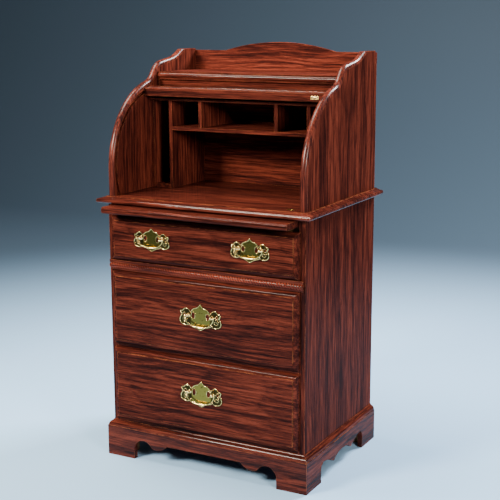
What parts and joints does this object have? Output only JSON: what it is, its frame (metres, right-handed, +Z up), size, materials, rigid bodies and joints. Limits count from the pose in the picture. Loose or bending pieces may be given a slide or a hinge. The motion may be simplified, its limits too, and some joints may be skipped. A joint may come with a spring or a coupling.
{
  "type": "roll top desk",
  "caption": "Narrow wooden roll top desk on a bracket base, with lipped drawers, a pull-out writing slide, pigeonholes and brass batwing pulls.",
  "frame": {"origin": "on the floor, under the middle of the whole footprint with the writing slide as it stands", "axes": "+X to the right seen from the front, +Y to the back, +Z up; the drawers open towards -Y"},
  "size_m": [0.655, 0.538, 1.1708],
  "materials": {
    "mahogany_flat": "satin",
    "mahogany_upright": "satin",
    "mahogany_inner": "satin",
    "inner_wood": "matte",
    "brass": "polished",
    "canvas": "matte"
  },
  "bodies": {
    "desk": {"case_back": "mahogany_inner", "case_bottom": "mahogany_inner", "case_side_left": "mahogany_upright", "case_side_right": "mahogany_upright", "catch_strike": "brass", "corner_blocks": "inner_wood", "crest_board": "mahogany_flat", "cubby_dividers": "mahogany_upright", "drawer_rail_lower": "mahogany_inner", "drawer_rail_upper": "mahogany_inner", "drawer_runners": "inner_wood", "hutch_back": "mahogany_inner", "hutch_nosing_left": "mahogany_upright", "hutch_nosing_right": "mahogany_upright", "hutch_side_left": "mahogany_upright", "hutch_side_right": "mahogany_upright", "pigeon_back_lower": "mahogany_inner", "pigeon_back_upper": "mahogany_inner", "pigeon_dividers": "mahogany_upright", "pigeon_ends": "mahogany_upright", "pigeon_shelf": "mahogany_flat", "pigeon_top": "mahogany_flat", "plinth_back": "inner_wood", "plinth_front": "mahogany_flat", "plinth_side_left": "mahogany_flat", "plinth_side_right": "mahogany_flat", "rope_moulding": "mahogany_flat", "shelf_cleats": "mahogany_flat", "shelf_fascia": "mahogany_flat", "shelf_moulding": "mahogany_flat", "slide_cleats": "inner_wood", "slide_cross_rail": "inner_wood", "slot_floors": "mahogany_upright", "top_shelf": "mahogany_flat", "writing_slab": "mahogany_flat"},
    "tambour": {"tambour_rail": "mahogany_upright", "tambour_slats": "mahogany_upright", "tambour_canvas": "canvas", "rail_catch": "brass"},
    "writing_slide": {"writing_slide": "mahogany_flat", "slide_front_edge": "mahogany_flat"},
    "drawer_low": {"drawer_front_low": "mahogany_flat", "drawer_box_low": "inner_wood", "drawer_bottom_low": "inner_wood", "pull_plate_low": "brass", "pull_posts_low": "brass"},
    "drawer_mid": {"drawer_front_mid": "mahogany_flat", "drawer_box_mid": "inner_wood", "drawer_bottom_mid": "inner_wood", "pull_plate_mid": "brass", "pull_posts_mid": "brass"},
    "drawer_top": {"drawer_front_top": "mahogany_flat", "drawer_box_top": "inner_wood", "drawer_bottom_top": "inner_wood", "pull_plate_top": "brass", "pull_posts_top": "brass"},
    "bail_low": {"bail_low": "brass"},
    "bail_mid": {"bail_mid": "brass"},
    "bail_top_left": {"bail_top_left": "brass"},
    "bail_top_right": {"bail_top_right": "brass"}
  },
  "joints": [
    {"name": "drawer_low_slide", "type": "slide", "parent": "desk", "child": "drawer_low", "axis": [0, -1, 0], "range_m": [0, 0.3]},
    {"name": "drawer_mid_slide", "type": "slide", "parent": "desk", "child": "drawer_mid", "axis": [0, -1, 0], "range_m": [0, 0.3]},
    {"name": "drawer_top_slide", "type": "slide", "parent": "desk", "child": "drawer_top", "axis": [0, -1, 0], "range_m": [0, 0.3]},
    {"name": "writing_slide_pull", "type": "slide", "parent": "desk", "child": "writing_slide", "axis": [0, -1, 0], "range_m": [-0.05, 0.15]},
    {"name": "curtain_roll", "type": "hinge", "parent": "desk", "child": "tambour", "pos_m": [0, 0.018, 0.836], "axis": [1, 0, 0], "range_deg": [-4, 95.5]},
    {"name": "bail_low_swing", "type": "hinge", "parent": "drawer_low", "child": "bail_low", "pos_m": [0, -0.23, 0.236], "axis": [-1, 0, 0], "range_deg": [0, 80]},
    {"name": "bail_mid_swing", "type": "hinge", "parent": "drawer_mid", "child": "bail_mid", "pos_m": [0, -0.23, 0.454], "axis": [-1, 0, 0], "range_deg": [0, 80]},
    {"name": "bail_top_left_swing", "type": "hinge", "parent": "drawer_top", "child": "bail_top_left", "pos_m": [-0.152, -0.23, 0.654], "axis": [-1, 0, 0], "range_deg": [0, 80]},
    {"name": "bail_top_right_swing", "type": "hinge", "parent": "drawer_top", "child": "bail_top_right", "pos_m": [0.152, -0.23, 0.654], "axis": [-1, 0, 0], "range_deg": [0, 80]}
  ]
}
